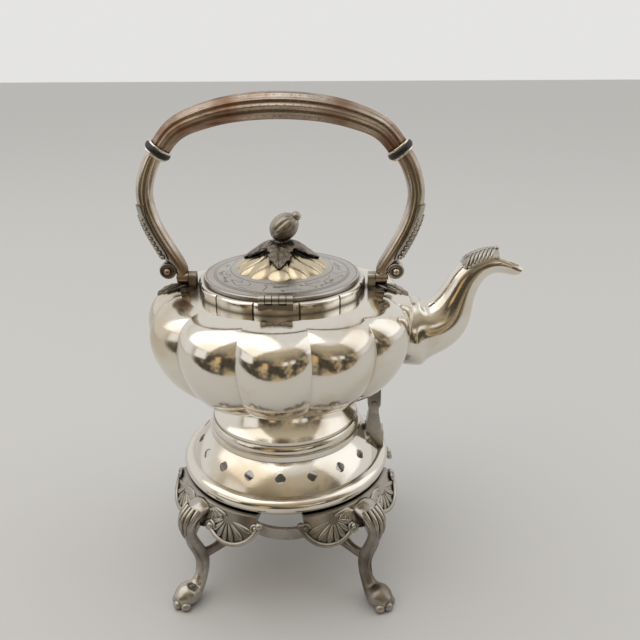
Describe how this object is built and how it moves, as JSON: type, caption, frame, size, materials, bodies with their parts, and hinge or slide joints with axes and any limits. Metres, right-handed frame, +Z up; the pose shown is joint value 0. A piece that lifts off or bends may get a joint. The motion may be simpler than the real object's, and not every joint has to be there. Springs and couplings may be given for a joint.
{
  "type": "spirit tea kettle on stand",
  "caption": "Lobed silver tea kettle with a hinged lid, swan-neck spout and reeded bail handle, tipping on a pinned post over a pierced, scroll-legged stand with a burner ring.",
  "frame": {"origin": "on the stand's axis at the table plane", "axes": "+Z up, +X towards the spout, -Y towards the lid hinge"},
  "size_m": [0.2858, 0.208, 0.381],
  "materials": {
    "polished_silver": "polished silver plate with a warm tone",
    "cast_silver": "cast ornament, darkened in its recesses",
    "plain_silver": "plain silver, lightly tarnished",
    "grip_silver": "reeded silver with brown tarnish",
    "insulator_black": "dark insulating disc"
  },
  "bodies": {
    "stand": {"burner_arm_front_left": "plain_silver", "burner_arm_front_right": "plain_silver", "burner_arm_rear_left": "plain_silver", "burner_arm_rear_right": "plain_silver", "burner_ring": "plain_silver", "leg_front_left": "cast_silver", "leg_front_right": "cast_silver", "leg_rear_left": "cast_silver", "leg_rear_right": "cast_silver", "seat_collar": "polished_silver", "stand_dome": "polished_silver", "stand_rim": "polished_silver", "tilt_post": "plain_silver"},
    "kettle": {"handle_mount_left": "cast_silver", "handle_mount_right": "cast_silver", "handle_pivot_left": "plain_silver", "handle_pivot_right": "plain_silver", "hinge_leaf_kettle": "plain_silver", "kettle_body": "polished_silver", "kettle_foot": "polished_silver", "lid_hinge_pin": "plain_silver", "mouth_border": "polished_silver", "spout": "polished_silver", "spout_leaf": "cast_silver", "tilt_lug": "plain_silver", "tilt_pin": "plain_silver"},
    "lid": {"finial_bud": "cast_silver", "finial_leaves": "cast_silver", "finial_nut": "plain_silver", "finial_petals": "cast_silver", "finial_stud": "plain_silver", "hinge_leaf_lid": "plain_silver", "lid": "polished_silver", "lid_bezel": "plain_silver"},
    "handle": {"arm_leaf_left": "cast_silver", "arm_leaf_right": "cast_silver", "collar_lower_left": "polished_silver", "collar_lower_right": "polished_silver", "collar_upper_left": "polished_silver", "collar_upper_right": "polished_silver", "handle_arm_left": "polished_silver", "handle_arm_right": "polished_silver", "handle_grip": "grip_silver", "insulator_left": "insulator_black", "insulator_right": "insulator_black"}
  },
  "joints": [
    {"name": "kettle_tilt", "type": "hinge", "parent": "stand", "child": "kettle", "pos_m": [0.072, 0, 0.141], "axis": [0, 1, 0], "range_deg": [0, 60]},
    {"name": "lid_hinge", "type": "hinge", "parent": "kettle", "child": "lid", "pos_m": [0, -0.0629, 0.25062], "axis": [1, 0, 0], "range_deg": [0, 100]},
    {"name": "handle_swing", "type": "hinge", "parent": "kettle", "child": "handle", "pos_m": [0, 0, 0.246], "axis": [1, 0, 0], "range_deg": [-75, 25]}
  ]
}
